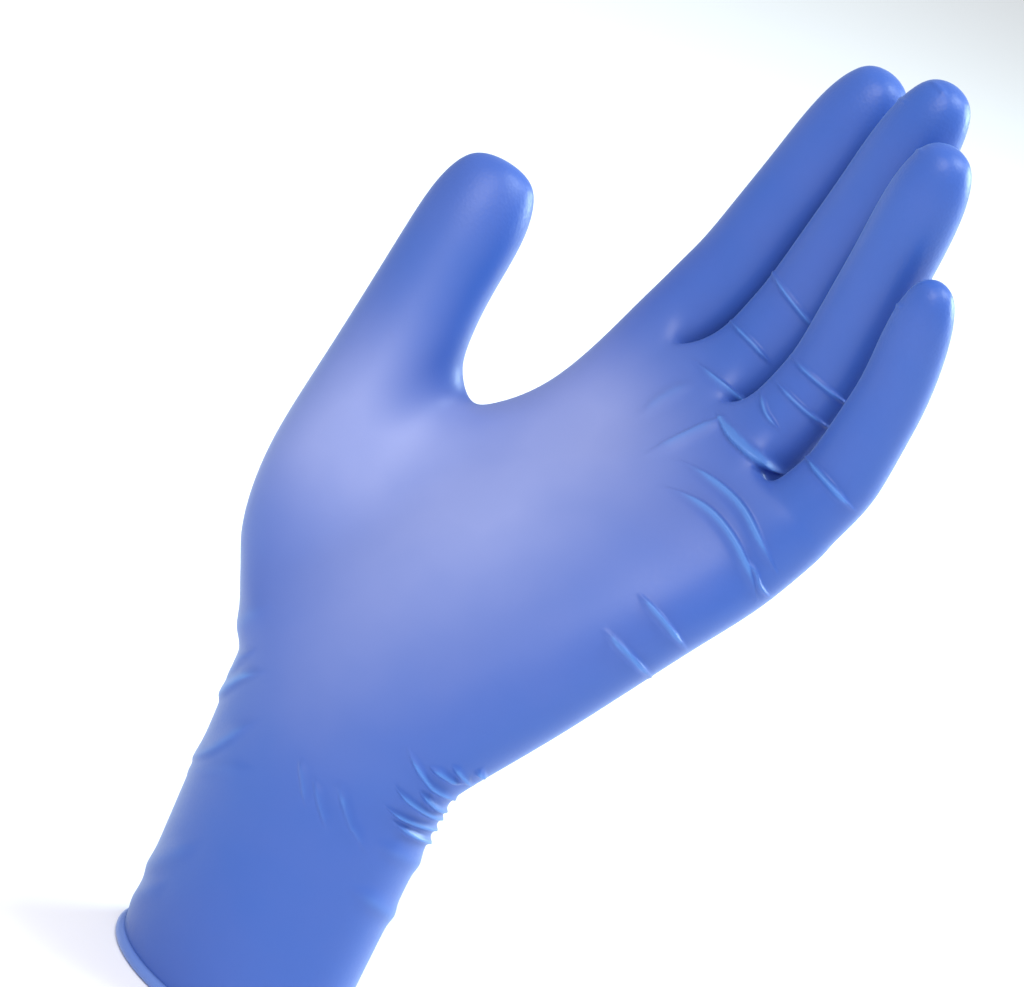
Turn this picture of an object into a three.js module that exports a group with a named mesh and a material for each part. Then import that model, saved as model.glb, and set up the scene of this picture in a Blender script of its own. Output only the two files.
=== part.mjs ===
import * as THREE from "three";

// A nitrile exam glove in the form that it has on a left hand: wrist bent back, fingers together and a
// little curled, thumb held away from them. It is one dipped film, open at the cuff, with a rolled rim.
// Millimetres and degrees. The rim lies on the plane z = 0 round the origin, the cuff runs up +Z,
// the palm faces -Y and the thumb is on the -X side.

// Film, and how far the rolled bead stands out of it
const FILM_WALL = 1.0;
const BEAD_STAND = 1.4;
const BEAD_STEPS = 7;

// Cuff from the rim to the wrist, and palm from the wrist to the knuckle of the middle finger
const CUFF_LENGTH = 57;
const CUFF_BREADTH = 56;
const CUFF_DEPTH = 42;
const WRIST_BREADTH = 56;
const WRIST_DEPTH = 40;
const PALM_REACH = 86;
const PALM_BREADTH = 82;
const PALM_DEPTH = 29;

// Thumb and fingers: lengths from the first joint to the tip, and breadths at the middle joint
const THUMB_LENGTH = 87.5;
const THUMB_GIRTH = 23;
const INDEX_LENGTH = 93.5;
const INDEX_GIRTH = 19.3;
const MIDDLE_LENGTH = 101;
const MIDDLE_GIRTH = 18.4;
const RING_LENGTH = 97;
const RING_GIRTH = 17.4;
const LITTLE_LENGTH = 83.5;
const LITTLE_GIRTH = 15.6;

// The skin between two fingers: how deep it dips, and how far it stands out to the palm and the back
const WEB_DEPTH = 5;
const WEB_FILL = 4.5;

// How the hand inside is held
const WRIST_BEND_BACK = 28;
const WRIST_BEND_ASIDE = 6;
const WRIST_BEND_LENGTH = 30;

// Sections across the cuff and palm, from the bead to the knuckles. reach: from the wrist, a share of
// the film's length below it and of the palm's reach above it. breadth and depth: shares of the cuff's,
// wrist's or palm's, as size says. across and out: the centre's shift towards the thumb and the palm, as
// shares of half the breadth and depth. square: exponent of the oval. thenar, hollow and heel: how far
// the palm side stands out at the thumb's ball, the middle and the little-finger side, as shares of half
// the depth. edge: how far the little-finger edge is set back, the same way. steps: sections from this one
// to the next.
const SIZES = {
  cuff: { breadth: CUFF_BREADTH, depth: CUFF_DEPTH },
  wrist: { breadth: WRIST_BREADTH, depth: WRIST_DEPTH },
  palm: { breadth: PALM_BREADTH, depth: PALM_DEPTH },
};
const SECTIONS = [
  {
    size: "cuff", reach: -1, breadth: 1, depth: 1, across: 0, out: 0,
    square: 2, thenar: 0, hollow: 0, heel: 0, edge: 0, steps: 7,
  },
  {
    size: "wrist", reach: -0.2, breadth: 1.03, depth: 1.06, across: 0, out: 0,
    square: 2.1, thenar: 0, hollow: 0, heel: 0, edge: 0, steps: 2,
  },
  {
    size: "wrist", reach: 0.01, breadth: 1.04, depth: 1.02, across: 0.04, out: 0.03,
    square: 2.2, thenar: 0.1, hollow: 0, heel: 0, edge: 0, steps: 3,
  },
  {
    size: "palm", reach: 0.13, breadth: 0.95, depth: 1.3, across: 0.22, out: 0.16,
    square: 2.2, thenar: 0.35, hollow: -0.08, heel: 0.05, edge: 0, steps: 1,
  },
  {
    size: "palm", reach: 0.42, breadth: 0.91, depth: 1.22, across: 0.05, out: 0.05,
    square: 2.3, thenar: 0.4, hollow: 0.12, heel: 0.1, edge: 0, steps: 1,
  },
  {
    size: "palm", reach: 0.79, breadth: 0.97, depth: 1.06, across: 0, out: -0.1,
    square: 2.4, thenar: 0.3, hollow: 0.06, heel: 0.1, edge: 0, steps: 1,
  },
  {
    size: "palm", reach: 0.94, breadth: 0.9, depth: 1, across: -0.01, out: -0.36,
    square: 2.5, thenar: 0.1, hollow: 0, heel: 0.05, edge: 0.25, steps: 1,
  },
];

// How far past the middle, towards the little finger, the thumb's ball starts to stand out, and where a
// section's points lie across it from the thumb side: both as shares of its half breadth.
const THENAR_START = 0.4;
const COLUMNS = [0.93, 0.74, 0.5, 0.25, 0, -0.25, -0.5, -0.74, -0.93];

// The three sections beside the thumb's root, counted back from the knuckles, and the three gaps between
// columns that it takes up, counted back from the thumb side
const THUMB_ROOT = [4, 3, 2];
const THUMB_GAPS = [3, 2, 1];

// Sections along a finger past the web, and along the thumb: the bone, the share of it, and the breadth
// and depth there as shares of the girth. crease: how far the palm side is drawn in, as a share of half
// the depth. tilt: how far a section turns from square to the bone towards the palm.
const FINGER_SECTIONS = [
  { bone: 0, share: 0.68, breadth: 0.98, depth: 0.98, crease: 0, tilt: 0 },
  { bone: 0, share: 0.9, breadth: 1, depth: 0.97, crease: 0, tilt: 0 },
  { bone: 1, share: 0.06, breadth: 1, depth: 0.96, crease: 0.07, tilt: 0 },
  { bone: 1, share: 0.5, breadth: 0.95, depth: 0.95, crease: 0, tilt: 0 },
  { bone: 1, share: 0.95, breadth: 0.97, depth: 0.92, crease: 0.04, tilt: 0 },
  { bone: 2, share: 0.3, breadth: 0.98, depth: 0.92, crease: 0, tilt: 0 },
  { bone: 2, share: 0.66, breadth: 0.91, depth: 0.85, crease: 0, tilt: 0 },
  { bone: 2, share: 0.92, breadth: 0.6, depth: 0.55, crease: 0, tilt: 0 },
];
const THUMB_SECTIONS = [
  { bone: 0, share: 0.6, breadth: 2.28, depth: 1.2, crease: 0, tilt: 37 },
  { bone: 0, share: 1, breadth: 1.85, depth: 1.15, crease: 0, tilt: 30 },
  { bone: 1, share: 0.45, breadth: 1.27, depth: 1.08, crease: 0, tilt: 33 },
  { bone: 1, share: 1, breadth: 1, depth: 0.98, crease: 0, tilt: 10 },
  { bone: 2, share: 0.33, breadth: 0.98, depth: 0.94, crease: 0, tilt: 6 },
  { bone: 2, share: 0.66, breadth: 0.95, depth: 0.84, crease: 0, tilt: 0 },
  { bone: 2, share: 0.92, breadth: 0.68, depth: 0.52, crease: 0, tilt: 0 },
];

// Thumb and fingers. reach, across and out: the first joint in the palm's frame, as shares of the palm's
// reach, half breadth and half depth. bones: shares of the length. aside and rise: degrees that each bone
// points towards the thumb side and the palm. roll: the breadth's turn from the palm's plane. web: from
// the first joint to the web, as a share of the length. taper: how much wider the root is than the tip, as
// a share of the girth.
const THUMB = {
  length: THUMB_LENGTH, girth: THUMB_GIRTH, reach: 0.31, across: 0.79, out: 0.63,
  bones: [0.32, 0.315, 0.365], aside: [33, 14.5, 12], rise: [23, 13, 13], roll: 45, taper: 0,
};
const FINGERS = {
  index: {
    length: INDEX_LENGTH, girth: INDEX_GIRTH, reach: 0.98, across: 0.683, out: -0.418,
    bones: [0.43, 0.28, 0.29], aside: [-6.5, -6.5, -6.5], rise: [12, 21, 21], roll: 0, web: 0.24, taper: 0,
  },
  middle: {
    length: MIDDLE_LENGTH, girth: MIDDLE_GIRTH, reach: 1, across: 0.206, out: -0.757,
    bones: [0.425, 0.285, 0.29], aside: [-6, -6, -6], rise: [17, 26, 26.5], roll: 0, web: 0.22, taper: 0,
  },
  ring: {
    length: RING_LENGTH, girth: RING_GIRTH, reach: 0.965, across: -0.238, out: -0.728,
    bones: [0.42, 0.3, 0.28], aside: [-5.5, -5.5, -5], rise: [16, 33, 34.5], roll: 0, web: 0.23, taper: 0,
  },
  little: {
    length: LITTLE_LENGTH, girth: LITTLE_GIRTH, reach: 0.88, across: -0.66, out: -0.726,
    bones: [0.42, 0.265, 0.315], aside: [-6, -5, -4], rise: [8.5, 30, 42], roll: 0, web: 0.28, taper: 0.26,
  },
};

// Folds of the film where the wrist bends, and ripples of the cuff. reach: from the wrist, as a share of
// the cuff's length. around: from the thumb side through the palm to the little-finger side. length and
// width: shares of the wrist's breadth. height: share of the fold height. slant: from across the wrist
// towards along it.
const FOLD_HEIGHT = 1.3;
const FOLDS = [
  { reach: 0.17, around: 176, length: 0.34, width: 0.036, height: 1, slant: -8 },
  { reach: 0.085, around: 178, length: 0.3, width: 0.034, height: 0.9, slant: 2 },
  { reach: 0.01, around: 176, length: 0.28, width: 0.034, height: 0.8, slant: 6 },
  { reach: -0.09, around: 158, length: 0.36, width: 0.04, height: 0.5, slant: 35 },
  { reach: -0.09, around: 136, length: 0.3, width: 0.045, height: 0.35, slant: 50 },
  { reach: 0.08, around: 22, length: 0.3, width: 0.05, height: 0.8, slant: 6 },
  { reach: -0.07, around: 32, length: 0.34, width: 0.055, height: 1, slant: 12 },
  { reach: -0.19, around: 48, length: 0.4, width: 0.045, height: 0.5, slant: 16 },
  { reach: -0.42, around: 20, length: 0.26, width: 0.05, height: 0.4, slant: 4 },
  { reach: -0.66, around: 26, length: 0.3, width: 0.05, height: 0.5, slant: -6 },
  { reach: -0.36, around: 190, length: 0.24, width: 0.05, height: 0.45, slant: 4 },
  { reach: -0.62, around: 196, length: 0.26, width: 0.05, height: 0.5, slant: -4 },
];

const radians = THREE.MathUtils.degToRad;
const lerp = THREE.MathUtils.lerp;

function place(frame, along, across, out) {
  return frame.origin
    .clone()
    .addScaledVector(frame.along, along)
    .addScaledVector(frame.across, across)
    .addScaledVector(frame.out, out);
}

const beadThickness = FILM_WALL + BEAD_STAND;

// The spine runs straight up the cuff, round a bend at the wrist and straight along the palm.
const bendTo = new THREE.Vector3(
  Math.tan(radians(WRIST_BEND_ASIDE)),
  Math.tan(radians(WRIST_BEND_BACK)),
  0,
);
const bendAngle = Math.atan(bendTo.length());
bendTo.normalize();
const bendAxis = new THREE.Vector3(0, 0, 1).cross(bendTo);
const bendReach = WRIST_BEND_LENGTH / 2;
const bendRadius = bendReach / Math.tan(bendAngle / 2);

function frameTurned(angle, origin) {
  const turn = new THREE.Quaternion().setFromAxisAngle(bendAxis, angle);
  return {
    origin,
    along: new THREE.Vector3(0, 0, 1).applyQuaternion(turn),
    across: new THREE.Vector3(-1, 0, 0).applyQuaternion(turn),
    out: new THREE.Vector3(0, -1, 0).applyQuaternion(turn),
  };
}

const palmFrame = frameTurned(bendAngle, new THREE.Vector3(0, 0, CUFF_LENGTH));

function spineFrame(reach) {
  if (reach <= -bendReach) return frameTurned(0, new THREE.Vector3(0, 0, CUFF_LENGTH + reach));
  if (reach >= bendReach) return frameTurned(bendAngle, place(palmFrame, reach, 0, 0));
  const angle = bendAngle * ((reach + bendReach) / (2 * bendReach));
  const origin = new THREE.Vector3(0, 0, CUFF_LENGTH - bendReach + bendRadius * Math.sin(angle));
  return frameTurned(angle, origin.addScaledVector(bendTo, bendRadius * (1 - Math.cos(angle))));
}

// The control cage: points and four-sided faces that face out.
const cage = { points: [], faces: [] };

function addPoint(point) {
  cage.points.push(point);
  return cage.points.length - 1;
}

function bridge(lower, upper, gaps = []) {
  lower.forEach((point, i) => {
    const next = (i + 1) % lower.length;
    if (!gaps.includes(i)) cage.faces.push([point, upper[i], upper[next], lower[next]]);
  });
}

function closeTip(ring, tip) {
  for (let i = 0; i < ring.length; i += 2) {
    cage.faces.push([ring[i], tip, ring[(i + 2) % ring.length], ring[i + 1]]);
  }
}

// One section of the cuff or palm: thumb side, back, little-finger side, palm.
function sectionRing(section) {
  const halfBreadth = section.breadth / 2;
  const halfDepth = section.depth / 2;
  const frame = spineFrame(section.reach);
  const pointAt = (share, side) => {
    const rise = Math.pow(1 - Math.pow(Math.abs(share), section.square), 1 / section.square);
    const ramp = Math.max(0, share + THENAR_START) / (1 + THENAR_START);
    const balls = section.thenar * ramp + section.heel * Math.max(0, -share);
    const cup = section.hollow * Math.max(0, 1 - 2 * Math.abs(share));
    const stand = side > 0 ? (balls + cup) * rise : 0;
    const setBack = section.edge * Math.max(0, -share);
    const across = halfBreadth * (share + section.across);
    return addPoint(place(frame, 0, across, halfDepth * (side * rise + section.out + stand - setBack)));
  };
  const back = COLUMNS.map((share) => pointAt(share, -1));
  const front = COLUMNS.map((share) => pointAt(share, 1)).reverse();
  return [pointAt(1, 0), ...back, pointAt(-1, 0), ...front];
}

function eased(share) {
  return share * share * (3 - 2 * share);
}

// The table's sections in millimetres, with the steps between them filled in.
function allSections() {
  const sized = SECTIONS.map((section) => ({
    ...section,
    reach: section.reach * (section.reach < 0 ? CUFF_LENGTH - beadThickness : PALM_REACH),
    breadth: section.breadth * SIZES[section.size].breadth,
    depth: section.depth * SIZES[section.size].depth,
  }));
  return sized.flatMap((section, n) => {
    const next = sized[n + 1] ?? section;
    const blend = (share) =>
      Object.fromEntries(
        Object.keys(section)
          .filter((key) => key !== "size")
          .map((key) => [key, lerp(section[key], next[key], share)]),
      );
    return Array.from({ length: section.steps }, (_, i) => blend(eased(i / section.steps)));
  });
}

const rows = allSections().map(sectionRing);
const thumbRows = THUMB_ROOT.map((fromLast) => rows.length - fromLast);
rows.slice(1).forEach((row, i) => {
  const beside = i >= thumbRows[0] && i < thumbRows[2];
  bridge(rows[i], row, beside ? THUMB_GAPS.map((fromLast) => row.length - fromLast) : []);
});

// The frame of the thumb or a finger at a bone, at a share of the bone's length
function digitFrame(digit, bone, share, tilt) {
  const origin = place(
    palmFrame,
    digit.reach * PALM_REACH,
    (digit.across * PALM_BREADTH) / 2,
    (digit.out * PALM_DEPTH) / 2,
  );
  const along = new THREE.Vector3();
  for (let n = 0; n <= bone; n++) {
    const aside = radians(digit.aside[n]);
    const rise = radians(digit.rise[n]);
    along
      .copy(palmFrame.along)
      .multiplyScalar(Math.cos(aside))
      .addScaledVector(palmFrame.across, Math.sin(aside))
      .multiplyScalar(Math.cos(rise))
      .addScaledVector(palmFrame.out, Math.sin(rise));
    origin.addScaledVector(along, digit.length * digit.bones[n] * (n < bone ? 1 : share));
  }
  const roll = radians(digit.roll);
  const across = palmFrame.across.clone().multiplyScalar(Math.cos(roll));
  across.addScaledVector(palmFrame.out, Math.sin(roll)).projectOnPlane(along).normalize();
  const out = along.clone().cross(across);
  along.applyAxisAngle(out, radians(tilt));
  across.applyAxisAngle(out, radians(tilt));
  return { origin, along, across, out };
}

// A round section as a ring of points: thumb side, back, little-finger side, palm. The control ring is
// wider than the section, because smoothing draws it in.
function roundSection(frame, sides, breadth, depth, crease) {
  const smoothed = (2 + Math.cos((2 * Math.PI) / sides)) / 3;
  const phase = sides % 4 === 0 ? 0 : 0.5;
  return Array.from({ length: sides }, (_, i) => {
    const angle = (2 * Math.PI * (i + phase)) / sides;
    const drawnIn = 1 - crease * Math.max(0, -Math.sin(angle));
    const across = (breadth / 2 / smoothed) * Math.cos(angle);
    const out = (-depth / 2 / smoothed) * Math.sin(angle) * drawnIn;
    return place(frame, 0, across, out);
  });
}

// Finger roots: neighbours share the corners between them and the web's lowest point
const FINGER_SIDES = 8;
const WEB = { own: [3, 4, 5], next: [1, 0, 7], lowest: 1 };
const fingers = Object.values(FINGERS);
const roots = fingers.map((finger) => {
  const frame = digitFrame(finger, 0, finger.web / finger.bones[0], 0);
  const girth = finger.girth * (1 + finger.taper / 2);
  return roundSection(frame, FINGER_SIDES, girth, girth, 0);
});
const rootRings = roots.map(() => new Array(FINGER_SIDES));
roots.slice(1).forEach((next, f) => {
  WEB.own.forEach((own, n) => {
    const between = roots[f][own].clone().lerp(next[WEB.next[n]], 0.5);
    between.addScaledVector(palmFrame.along, n === WEB.lowest ? -WEB_DEPTH : 0);
    between.addScaledVector(palmFrame.out, (n - WEB.lowest) * WEB_FILL);
    rootRings[f][own] = addPoint(between);
    rootRings[f + 1][WEB.next[n]] = rootRings[f][own];
  });
});
roots.forEach((root, f) => root.forEach((point, i) => (rootRings[f][i] ??= addPoint(point))));
const [indexRoot] = rootRings;
const littleRoot = rootRings.at(-1);
bridge(rows.at(-1), [
  indexRoot[0],
  indexRoot[1],
  ...rootRings.flatMap((ring) => [ring[2], ring[3]]),
  littleRoot[4],
  littleRoot[5],
  ...rootRings.toReversed().flatMap((ring) => [ring[6], ring[7]]),
]);

// A finger or thumb from its root ring to its tip
function stall(digit, root, sections) {
  let last = root;
  for (const { bone, share, breadth, depth, crease, tilt } of sections) {
    const frame = digitFrame(digit, bone, share, tilt);
    const tapered = digit.taper * (0.5 - (bone + share) / digit.bones.length);
    const girth = digit.girth * (1 + tapered);
    const points = roundSection(frame, root.length, girth * breadth, girth * depth, crease);
    const ring = points.map(addPoint);
    bridge(last, ring);
    last = ring;
  }
  closeTip(last, addPoint(digitFrame(digit, digit.bones.length - 1, 1, 0).origin));
}

fingers.forEach((finger, f) => stall(finger, rootRings[f], FINGER_SECTIONS));

// The thumb's root ring takes four points of the sections next to it and one at each side of the middle
// one. Inside it the middle section's other points are left out.
const [near, mid, far] = thumbRows.map((n) => rows[n]);
const [innermost, inner, outer] = THUMB_GAPS.map((fromLast) => near.length - fromLast);
stall(
  THUMB,
  [
    near[outer],
    near[0],
    mid[0],
    far[0],
    far[outer],
    far[inner],
    far[innermost],
    mid[innermost],
    near[innermost],
    near[inner],
  ],
  THUMB_SECTIONS,
);

// The mesh without the points that no face uses
function usedPoints(mesh) {
  const used = new Map([...new Set(mesh.faces.flat())].map((p, i) => [p, i]));
  return {
    points: [...used.keys()].map((p) => mesh.points[p]),
    faces: mesh.faces.map((face) => face.map((p) => used.get(p))),
  };
}

// Edges of a mesh of four-sided faces, each with its faces
function edgesOf(faces) {
  const edges = new Map();
  faces.forEach((face, f) => {
    face.forEach((a, i) => {
      const b = face[(i + 1) % face.length];
      const key = a < b ? `${a},${b}` : `${b},${a}`;
      if (!edges.has(key)) edges.set(key, { ends: [a, b], faces: [] });
      edges.get(key).faces.push(f);
    });
  });
  return edges;
}

function average(points) {
  const sum = new THREE.Vector3();
  points.forEach((point) => sum.add(point));
  return sum.divideScalar(points.length);
}

// Neighbours of each point: the faces round it, the points along its edges, and those on an open rim
function surroundings(mesh, edges) {
  const around = mesh.points.map(() => ({ faces: [], ends: [], rim: [] }));
  mesh.faces.forEach((face, f) => face.forEach((p) => around[p].faces.push(f)));
  for (const edge of edges.values()) {
    const [a, b] = edge.ends;
    around[a].ends.push(b);
    around[b].ends.push(a);
    if (edge.faces.length === 1) {
      around[a].rim.push(b);
      around[b].rim.push(a);
    }
  }
  return around;
}

// One round of Catmull and Clark's subdivision
function subdivide(mesh) {
  const edges = edgesOf(mesh.faces);
  const around = surroundings(mesh, edges);
  const middles = mesh.faces.map((face) => average(face.map((p) => mesh.points[p])));
  const moved = mesh.points.map((point, p) => {
    const { faces, ends, rim } = around[p];
    if (rim.length) return average(rim.map((q) => mesh.points[q])).lerp(point, 3 / 4);
    const n = faces.length;
    return average(faces.map((f) => middles[f]))
      .add(average(ends.map((q) => mesh.points[q])))
      .addScaledVector(point, n - 2)
      .divideScalar(n);
  });
  const points = [...moved, ...middles];
  const edgePoint = new Map();
  for (const [key, edge] of edges) {
    const ends = edge.ends.map((p) => mesh.points[p]);
    const beside = edge.faces.length > 1 ? edge.faces.map((f) => middles[f]) : [];
    edgePoint.set(key, points.push(average([...ends, ...beside])) - 1);
  }
  const between = (a, b) => edgePoint.get(a < b ? `${a},${b}` : `${b},${a}`);
  const faces = mesh.faces.flatMap((face, f) =>
    face.map((p, i) => {
      const next = face[(i + 1) % face.length];
      const before = face[(i + face.length - 1) % face.length];
      return [p, between(p, next), moved.length + f, between(before, p)];
    }),
  );
  return { points, faces };
}

// Points moved to where endless subdivision would bring them
function limitPoints(mesh) {
  const around = surroundings(mesh, edgesOf(mesh.faces));
  return mesh.points.map((point, p) => {
    const { faces, ends, rim } = around[p];
    if (rim.length) return average(rim.map((q) => mesh.points[q])).lerp(point, 2 / 3);
    const n = faces.length;
    const corners = faces.map((f) => mesh.faces[f][(mesh.faces[f].indexOf(p) + 2) % 4]);
    return point
      .clone()
      .multiplyScalar(n * n)
      .addScaledVector(average(ends.map((q) => mesh.points[q])), 4 * n)
      .addScaledVector(average(corners.map((q) => mesh.points[q])), n)
      .divideScalar(n * (n + 5));
  });
}

function normalsOf(points, faces) {
  const normals = points.map(() => new THREE.Vector3());
  for (const [a, b, c, d] of faces) {
    const across = points[c].clone().sub(points[a]);
    const normal = across.cross(points[d].clone().sub(points[b])).normalize();
    [a, b, c, d].forEach((p) => normals[p].add(normal));
  }
  return normals.map((normal) => normal.normalize());
}

// A point's place on the unrolled cuff and wrist: along the spine and round it from the thumb side
function unrolled(point) {
  const fromBend = point.clone().setZ(point.z - (CUFF_LENGTH - bendReach));
  const turned = Math.atan2(Math.max(0, fromBend.z), bendRadius - fromBend.dot(bendTo));
  let reach = fromBend.z - bendReach;
  if (turned > 0) reach = 2 * bendReach * (turned / bendAngle) - bendReach;
  if (turned > bendAngle) reach = point.clone().sub(palmFrame.origin).dot(palmFrame.along);
  const frame = spineFrame(reach);
  const from = point.clone().sub(frame.origin);
  const across = from.dot(frame.across);
  const out = from.dot(frame.out);
  return { reach, around: Math.atan2(out, across), radius: Math.hypot(across, out) };
}

function foldHeight(point) {
  const { reach, around, radius } = unrolled(point);
  let height = 0;
  for (const fold of FOLDS) {
    const turn = around - radians(fold.around);
    const round = radius * Math.atan2(Math.sin(turn), Math.cos(turn));
    const up = reach - fold.reach * CUFF_LENGTH;
    const slant = radians(fold.slant);
    const along = round * Math.cos(slant) + up * Math.sin(slant);
    const off = up * Math.cos(slant) - round * Math.sin(slant);
    const fade = Math.exp(-Math.pow((2 * along) / (fold.length * WRIST_BREADTH), 4));
    const ridge = Math.exp(-Math.pow(off / (fold.width * WRIST_BREADTH), 2));
    height += fold.height * FOLD_HEIGHT * fade * ridge;
  }
  return height;
}

// The film: outer face, rolled bead round the open rim, inner face
function filmGeometry() {
  const mesh = subdivide(usedPoints(cage));
  const outer = limitPoints(mesh);
  const smooth = normalsOf(outer, mesh.faces);
  outer.forEach((point, i) => point.addScaledVector(smooth[i], foldHeight(point)));
  const normals = normalsOf(outer, mesh.faces);
  const count = outer.length;
  const points = [...outer, ...outer.map((p, i) => p.clone().addScaledVector(normals[i], -FILM_WALL))];
  const faces = [...mesh.faces, ...mesh.faces.map((face) => face.map((p) => p + count).reverse())];

  // The rim's points in order, as the faces beside it run
  const nextOnRim = new Map();
  for (const edge of edgesOf(mesh.faces).values()) {
    if (edge.faces.length === 1) nextOnRim.set(edge.ends[0], edge.ends[1]);
  }
  const rim = [nextOnRim.keys().next().value];
  while (rim.length < nextOnRim.size) rim.push(nextOnRim.get(rim.at(-1)));

  // The bead is round. It is flush with the film's inner face and rests on the plane of the rim.
  const radius = beadThickness / 2;
  const leavesFilm = Math.acos((FILM_WALL - radius) / radius);
  const rings = [rim];
  for (let step = 1; step <= BEAD_STEPS; step++) {
    const angle = lerp(leavesFilm, -Math.PI, step / (BEAD_STEPS + 1));
    const ring = rim.map((p) => {
      const outward = normals[p].clone().setZ(0).normalize();
      const onBead = outer[p].clone().addScaledVector(outward, radius * (1 + Math.cos(angle)) - FILM_WALL);
      return points.push(onBead.setZ(radius * (1 + Math.sin(angle)))) - 1;
    });
    rings.push(ring);
  }
  rings.push(rim.map((p) => p + count));
  rings.slice(1).forEach((ring, r) => {
    rings[r].forEach((p, i) => {
      const next = (i + 1) % rim.length;
      faces.push([p, ring[i], ring[next], rings[r][next]]);
    });
  });
  return { points, faces };
}

const film = filmGeometry();

// A four-sided face is split along its shorter diagonal, which keeps the wall whole where it is folded.
function triangles([a, b, c, d]) {
  const [pointA, pointB, pointC, pointD] = [a, b, c, d].map((p) => film.points[p]);
  const shorter = pointA.distanceTo(pointC) < pointB.distanceTo(pointD);
  return shorter ? [a, b, c, a, c, d] : [b, c, d, b, d, a];
}

const geometry = new THREE.BufferGeometry();
geometry.setAttribute(
  "position",
  new THREE.Float32BufferAttribute(film.points.flatMap((p) => p.toArray()), 3),
);
geometry.setIndex(film.faces.flatMap(triangles));
geometry.computeVertexNormals();

const nitrile = new THREE.MeshStandardMaterial({ color: 0x6480c8, roughness: 0.45, metalness: 0 });
const glove = new THREE.Mesh(geometry, nitrile);
glove.name = "glove";

const group = new THREE.Group();
group.add(glove);
export default group;
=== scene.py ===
from math import atan, cos, pi, radians, sin, tan

import bpy
import numpy as np
from mathutils import Matrix


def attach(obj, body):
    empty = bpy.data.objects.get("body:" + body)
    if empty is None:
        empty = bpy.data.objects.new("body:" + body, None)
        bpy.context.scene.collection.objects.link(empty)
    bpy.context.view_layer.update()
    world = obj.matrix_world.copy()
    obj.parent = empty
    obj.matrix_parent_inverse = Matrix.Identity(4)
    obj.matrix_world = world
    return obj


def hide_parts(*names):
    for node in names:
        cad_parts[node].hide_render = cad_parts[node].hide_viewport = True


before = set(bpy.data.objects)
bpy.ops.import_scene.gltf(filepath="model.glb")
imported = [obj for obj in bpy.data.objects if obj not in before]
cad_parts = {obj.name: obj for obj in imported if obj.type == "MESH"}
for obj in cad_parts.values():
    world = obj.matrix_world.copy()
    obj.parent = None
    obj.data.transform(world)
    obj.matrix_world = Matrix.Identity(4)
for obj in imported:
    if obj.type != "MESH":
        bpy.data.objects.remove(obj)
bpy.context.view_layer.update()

MM = 0.001

# The camera looks at the palm from the little-finger side, from a little above the wrist, and is rolled
# so that the cuff comes in at the lower left. Its axes at the wrist also serve to place the film's folds.
CUFF_LENGTH = 57 * MM
CAMERA_AZIMUTH = radians(47)
CAMERA_ELEVATION = radians(16)
CAMERA_ROLL = radians(25)
CAMERA_DISTANCE = 1.0
CAMERA_LENS_MM = 175.8
CAMERA_SENSOR_MM = 36
LOOKS_RIGHT_OF_WRIST = 35.4 * MM
LOOKS_ABOVE_WRIST = 50.3 * MM


def view_axes(azimuth, elevation, roll):
    """Right, up and towards the viewer, as the three rows. Azimuth 0 looks along +Y."""
    level = np.array([cos(azimuth), sin(azimuth), 0])
    upright = np.array([-sin(elevation) * sin(azimuth), sin(elevation) * cos(azimuth), cos(elevation)])
    right = cos(roll) * level + sin(roll) * upright
    up = cos(roll) * upright - sin(roll) * level
    return np.array([right, up, np.cross(right, up)])


camera_axes = view_axes(CAMERA_AZIMUTH, CAMERA_ELEVATION, CAMERA_ROLL)
wrist = np.array([0, 0, CUFF_LENGTH])
looked_at = wrist + LOOKS_RIGHT_OF_WRIST * camera_axes[0] + LOOKS_ABOVE_WRIST * camera_axes[1]

camera_data = bpy.data.cameras.new("camera")
camera_data.lens = CAMERA_LENS_MM
camera_data.sensor_width = CAMERA_SENSOR_MM
camera = bpy.data.objects.new("camera", camera_data)
bpy.context.scene.collection.objects.link(camera)
camera.matrix_world = Matrix.Translation(looked_at + CAMERA_DISTANCE * camera_axes[2]) @ Matrix(
    camera_axes.T.tolist()
).to_4x4()
bpy.context.scene.camera = camera

# The form of the hand inside decides the glove's form: cuff, wrist bent back, palm, thumb and fingers.
# Sections across them are joined into a coarse cage of four-sided faces, which is then smoothed.
CUFF_BREADTH = 56 * MM
CUFF_DEPTH = 42 * MM
WRIST_BREADTH = 56 * MM
WRIST_DEPTH = 40 * MM
PALM_REACH = 86 * MM
PALM_BREADTH = 82 * MM
PALM_DEPTH = 29 * MM
WRIST_BEND_BACK = radians(28)
WRIST_BEND_ASIDE = radians(6)
WRIST_BEND_LENGTH = 30 * MM
WEB_DEPTH = 5 * MM
WEB_FILL = 4.5 * MM
FILM_WALL = 1 * MM
BEAD_THICKNESS = 2.4 * MM

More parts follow.
